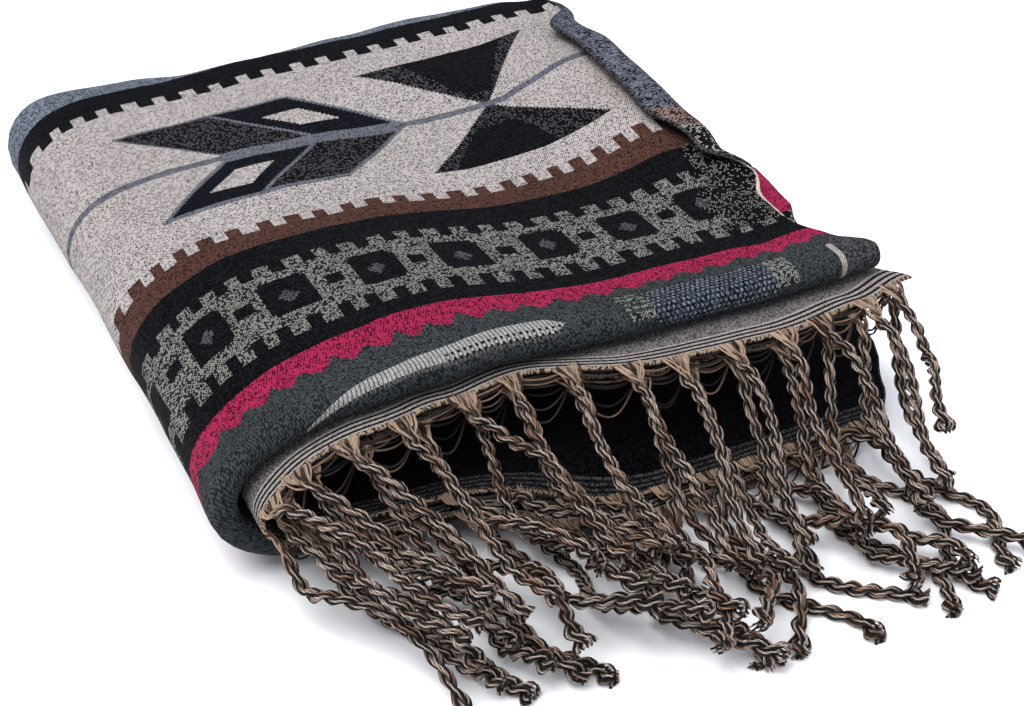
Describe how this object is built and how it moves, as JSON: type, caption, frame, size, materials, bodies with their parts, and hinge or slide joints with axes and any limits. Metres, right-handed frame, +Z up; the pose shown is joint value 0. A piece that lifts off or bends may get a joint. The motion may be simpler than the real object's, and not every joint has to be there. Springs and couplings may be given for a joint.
{
  "type": "folded fringed shawl",
  "caption": "Coarsely woven shawl in dark bands, beige field and geometric motifs, folded in a soft stack with twisted tassels at the front.",
  "frame": {"origin": "middle of the bounding box, on the surface that the shawl lies on", "axes": "+X runs from the wide lengthwise bend to the selvedges, +Y from the fringes to the back folds, +Z up through the layers"},
  "size_m": [0.3744, 0.49, 0.0962],
  "materials": {
    "woven_cloth": "coarse two-colour jacquard weave, matt",
    "fringe_yarn": "matt twisted yarn in black, brown, tan and cream"
  },
  "bodies": {
    "root": {"shawl_cloth": "woven_cloth", "fringe_end_a": "fringe_yarn", "fringe_end_b": "fringe_yarn"}
  },
  "joints": []
}
